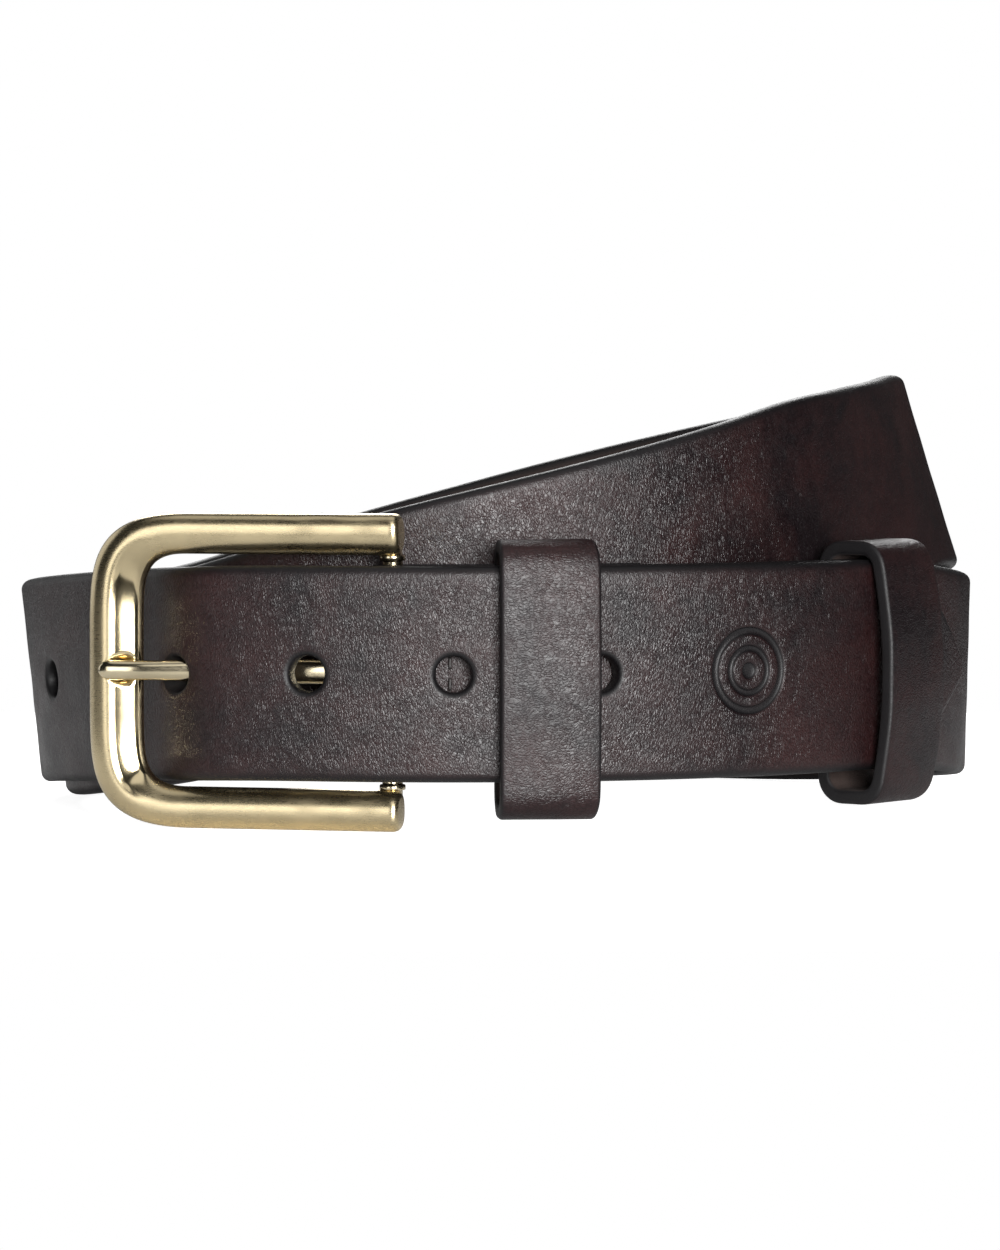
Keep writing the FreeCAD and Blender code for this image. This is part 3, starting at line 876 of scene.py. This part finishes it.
def leather(name, dark, red, grain, rough, relief):
    """Full-grain leather: fine cells, uneven dye, a fibrous flesh side and dark burnished edges, with
    painted shade in the grain's valleys and down the holes' walls.
    """
    n = Nodes(name)
    flat = n.coordinates((1000.0, 1000.0, 1000.0))
    shifted = n.add("ShaderNodeVectorMath", operation="MULTIPLY_ADD")
    bend = n.add("ShaderNodeTexNoise", Scale=0.35, Detail=2.0)
    n.link(flat, bend.inputs["Vector"])
    n.link(bend.outputs["Color"], shifted.inputs[0])
    n.link(flat, shifted.inputs[2])
    shifted.inputs[1].default_value = (1.6, 1.6, 0.0)
    squash = n.add("ShaderNodeMapping")
    squash.inputs["Scale"].default_value = (2.3 * grain, 1.3 * grain, 1.0)
    n.link(shifted.outputs["Vector"], squash.inputs["Vector"])
    cells = n.add("ShaderNodeTexVoronoi", feature="DISTANCE_TO_EDGE", Scale=1.0, Randomness=1.0)
    n.link(squash.outputs["Vector"], cells.inputs["Vector"])
    valley = n.grey(cells.outputs["Distance"], 0.0, 0.22)
    pebble = n.noise(squash.outputs["Vector"], 0.8, 1.5, 0.5, 0.4)
    pores = n.noise(flat, 4.5, 2.0, 0.6)
    height = n.maths("ADD", n.maths("MULTIPLY", valley, 0.5), n.maths("MULTIPLY", pebble, 1.0))
    height = n.maths("ADD", height, n.maths("MULTIPLY", pores, 0.06))
    patches = n.noise(flat, 0.045, 3.0, 0.55, 0.5)
    blotches = n.noise(flat, 0.35, 3.0, 0.6)
    dye = n.grey(n.maths("ADD", patches, n.maths("MULTIPLY", blotches, 0.35)), 0.5, 0.86)
    colour = n.mix(dye, dark, red)
    # Colour darker in the grain's valleys and lighter on its crowns: painted shade.
    valley_painted_shade = n.grey(height, 0.45, 0.95, 0.62, 1.12)
    scaled = n.add("ShaderNodeVectorMath", operation="SCALE")
    n.link(colour, scaled.inputs[0])
    n.link(valley_painted_shade, scaled.inputs["Scale"])
    deep = n.attribute("deep")
    flesh = n.grey(deep, 0.86, 0.97)
    fibres = n.noise(n.coordinates((900.0, 1400.0, 1.0)), 1.2, 4.0, 0.7)
    suede = n.mix(fibres, (0.022, 0.014, 0.012), (0.062, 0.04, 0.033))
    colour = n.mix(flesh, scaled.outputs["Vector"], suede)
    # Near black where the mask is high: the real burnished colour on the edges and hole rims, painted shade
    # down the hole walls, and the pressed mark's grooves.
    worn = n.attribute("worn")
    colour = n.mix(n.grey(worn, 0.15, 0.95), colour, (0.0035, 0.0028, 0.0035))
    n.link(colour, n.shader.inputs["Base Color"])
    wear = n.noise(flat, 0.12, 2.0)
    surface = n.grey(n.maths("ADD", n.maths("MULTIPLY", wear, 0.5), n.maths("MULTIPLY", height, 0.25)),
                     0.2, 0.6, rough - 0.07, rough + 0.12)
    surface = n.maths("ADD", surface, n.maths("MULTIPLY", flesh, 0.4))
    surface = n.maths("ADD", surface, n.maths("MULTIPLY", worn, 0.12))
    n.link(surface, n.shader.inputs["Roughness"])
    soft = n.maths("SUBTRACT", 1.0, n.maths("MULTIPLY", worn, 0.8))
    n.link(n.bump(n.maths("MULTIPLY", height, soft), 1.0, relief), n.shader.inputs["Normal"])
    n.shader.inputs["Specular IOR Level"].default_value = 0.45
    return n.material


def brass(name, base, rough, polished_rough=None, brushed=True):
    """Pale brass: fine satin brushing, polished where the casting is worked."""
    n = Nodes(name)
    n.shader.inputs["Metallic"].default_value = 1.0
    lines = n.noise(n.coordinates((700.0, 700.0, 5200.0), "Object"), 1.0, 3.0, 0.6)
    cloud = n.noise(n.coordinates((120.0, 120.0, 120.0), "Object"), 1.0, 3.0, 0.5)
    lighter = tuple(min(1.0, c * 1.08) for c in base)
    darker = tuple(c * 0.88 for c in base)
    n.link(n.mix(n.grey(cloud, 0.3, 0.7), darker, lighter), n.shader.inputs["Base Color"])
    satin = n.grey(n.maths("ADD", n.maths("MULTIPLY", lines, 0.6), n.maths("MULTIPLY", cloud, 0.4)),
                   0.3, 0.7, rough - 0.04, rough + 0.07)
    if polished_rough is not None:
        polish = n.attribute("worn")
        both = n.add("ShaderNodeMix", data_type="FLOAT")
        n.link(polish, both.inputs[0])
        n.link(satin, both.inputs[2])
        n.link(n.grey(cloud, 0.3, 0.7, polished_rough - 0.02, polished_rough + 0.03), both.inputs[3])
        satin = both.outputs[0]
    n.link(satin, n.shader.inputs["Roughness"])
    if brushed:
        n.link(n.bump(lines, 0.03, 0.00002), n.shader.inputs["Normal"])
    return n.material


def plain(name, low, high, rough, scale, metallic=0.0):
    """Small parts: one colour with a fine variation."""
    n = Nodes(name)
    grain = n.noise(n.coordinates((scale, scale, scale), "Object"), 1.0, 3.0, 0.6)
    n.link(n.mix(n.grey(grain, 0.3, 0.7), low, high), n.shader.inputs["Base Color"])
    n.link(n.grey(grain, 0.3, 0.7, rough - 0.06, rough + 0.06), n.shader.inputs["Roughness"])
    n.shader.inputs["Metallic"].default_value = metallic
    n.link(n.bump(grain, 0.3, 0.0001), n.shader.inputs["Normal"])
    return n.material


ESPRESSO = (0.0058, 0.0028, 0.0036)
strap_leather = leather("strap_leather", ESPRESSO, (0.0225, 0.0075, 0.0075), 1.08, 0.34, 0.000078)
keeper_leather = leather("keeper_leather", ESPRESSO, (0.022, 0.0075, 0.0075), 1.0, 0.38, 0.000065)
satin_brass = brass("satin_brass", (0.68, 0.565, 0.35), 0.27, 0.10)
bright_brass = brass("bright_brass", (0.74, 0.64, 0.44), 0.17, None, False)
steel = plain("staple_steel", (0.32, 0.31, 0.29), (0.5, 0.49, 0.47), 0.32, 900.0, 1.0)
thread = plain("waxed_thread", (0.006, 0.005, 0.005), (0.02, 0.015, 0.014), 0.5, 2500.0)

PIECES = [
    (coil_piece, strap_leather, "strap_leather", "strap", ("strap_coil",)),
    (left_piece, strap_leather, "strap_leather", None, ("strap_buckle_bend",)),
    (tip_piece, strap_leather, "strap_leather", None, ("strap_tip_end",)),
    (fixed_piece, keeper_leather, "keeper_leather", "strap", ("fixed_keeper",)),
    (loose_piece, keeper_leather, "keeper_leather", "loose_keeper", ("loose_keeper",)),
    (frame_piece, satin_brass, "buckle_brass", "buckle", ("buckle_frame",)),
    (bar_piece, bright_brass, "bar_brass", "buckle", ("heel_bar",)),
    (prong_piece, bright_brass, "prong_brass", "prong", ("prong",)),
    (fixed_staple, steel, "staple_steel", "strap", ("fixed_keeper_staple",)),
    (loose_staple, steel, "staple_steel", "loose_keeper", ("loose_keeper_staple",)),
    (inner_stitches, thread, "thread", "strap", ("stitch_row_inner",)),
    (outer_stitches, thread, "thread", "strap", ("stitch_row_outer",)),
]
for piece, material, slot, body, nodes in PIECES:
    piece.data.materials.append(material)
    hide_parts(*nodes)
    if body:
        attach(piece, body)


def spot(azimuth):
    """Point on the strap's centre line in metres."""
    place = strap_place(np.array([run_at(azimuth)]), np.zeros(1), np.zeros(1))[0]
    return tuple(float(v) * MM for v in place)


spot(652.0)
spot(684.0)
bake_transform(left_piece)
spot(697.5)
spot(713.0)
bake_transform(tip_piece)


# ---------------------------------------------------------------- studio
def add_floor():
    """Small white table, as white as the paper behind it to the camera and dim to other rays."""
    size = 0.30
    corners = [(-size, -size, 0), (size, -size, 0), (size, size, 0), (-size, size, 0)]
    data = bpy.data.meshes.new("studio_floor")
    data.from_pydata(corners, [], [(0, 1, 2, 3)])
    floor = bpy.data.objects.new("studio_floor", data)
    bpy.context.scene.collection.objects.link(floor)
    material = bpy.data.materials.new("studio_white")
    material.use_nodes = True
    shader = material.node_tree.nodes["Principled BSDF"]
    shader.inputs["Base Color"].default_value = (0.93, 0.93, 0.93, 1)
    shader.inputs["Roughness"].default_value = 0.9
    shader.inputs["Emission Color"].default_value = (1, 1, 1, 1)
    rays = material.node_tree.nodes.new("ShaderNodeLightPath")
    glow = material.node_tree.nodes.new("ShaderNodeMapRange")
    glow.inputs["To Min"].default_value = 0.06
    glow.inputs["To Max"].default_value = 0.9
    material.node_tree.links.new(rays.outputs["Is Camera Ray"], glow.inputs["Value"])
    material.node_tree.links.new(glow.outputs["Result"], shader.inputs["Emission Strength"])
    shader.inputs["Specular IOR Level"].default_value = 0.1
    data.materials.append(material)


def add_light(name, azimuth, elevation, distance, width, height, power):
    """Soft box aimed at the buckle; azimuth 0 is the viewer's side, positive to the right."""
    target = Vector((0.0, -0.05, 0.03))
    a, e = math.radians(azimuth), math.radians(elevation)
    away = Vector((math.sin(a) * math.cos(e), -math.cos(a) * math.cos(e), math.sin(e)))
    lamp = bpy.data.lights.new(name, "AREA")
    lamp.shape = "RECTANGLE"
    lamp.size, lamp.size_y = width, height
    lamp.energy = power
    obj = bpy.data.objects.new(name, lamp)
    bpy.context.scene.collection.objects.link(obj)
    obj.location = target + away * distance
    obj.rotation_mode = "QUATERNION"
    obj.rotation_quaternion = (-away).to_track_quat("-Z", "Y")


add_floor()
add_light("soft_front", 15, 7, 1.35, 0.62, 0.42, 27.0)
add_light("soft_upper", 0, 35, 1.35, 0.80, 0.50, 1.2)
add_light("soft_left", -36, 6, 1.35, 0.50, 0.50, 2.0)
add_light("soft_top", 0, 80, 1.20, 1.30, 1.00, 2.5)
add_light("soft_back_left", -128, 16, 1.20, 0.90, 0.80, 1.7)
add_light("soft_back_right", 132, 16, 1.20, 0.90, 0.80, 0.15)
add_light("soft_rear", 180, 30, 1.50, 0.80, 0.60, 11.0)


def add_world():
    """White paper to the camera, an almost dark room to every other ray."""
    world = bpy.data.worlds.new("studio")
    bpy.context.scene.world = world
    world.use_nodes = True
    tree = world.node_tree
    paper = tree.nodes["Background"]
    paper.inputs["Color"].default_value = (1.0, 1.0, 1.0, 1)
    paper.inputs["Strength"].default_value = 1.0
    room = tree.nodes.new("ShaderNodeBackground")
    room.inputs["Color"].default_value = (0.75, 0.77, 0.8, 1)
    room.inputs["Strength"].default_value = 0.015
    rays = tree.nodes.new("ShaderNodeLightPath")
    choose = tree.nodes.new("ShaderNodeMixShader")
    tree.links.new(rays.outputs["Is Camera Ray"], choose.inputs[0])
    tree.links.new(room.outputs[0], choose.inputs[1])
    tree.links.new(paper.outputs[0], choose.inputs[2])
    tree.links.new(choose.outputs[0], tree.nodes["World Output"].inputs["Surface"])


add_world()
bpy.context.scene.view_settings.view_transform = "Standard"


# ---------------------------------------------------------------- camera
def add_camera():
    """Long lens 1.15 m from the front of the belt, looking down a little."""
    distance, focus = 1.15, Vector((0.0005, -0.0809, 0.0281))
    camera = bpy.data.cameras.new("view")
    camera.sensor_width = 36.0
    camera.lens = 189.1008
    camera.shift_y = 0.04
    camera.clip_start, camera.clip_end = 0.05, 30.0
    eye = bpy.data.objects.new("view", camera)
    bpy.context.scene.collection.objects.link(eye)
    tilt = math.radians(2.9)
    away = Vector((0.0, -math.cos(tilt), math.sin(tilt)))
    eye.location = focus + away * distance
    eye.rotation_mode = "QUATERNION"
    eye.rotation_quaternion = (-away).to_track_quat("-Z", "Y")
    bpy.context.scene.camera = eye


add_camera()
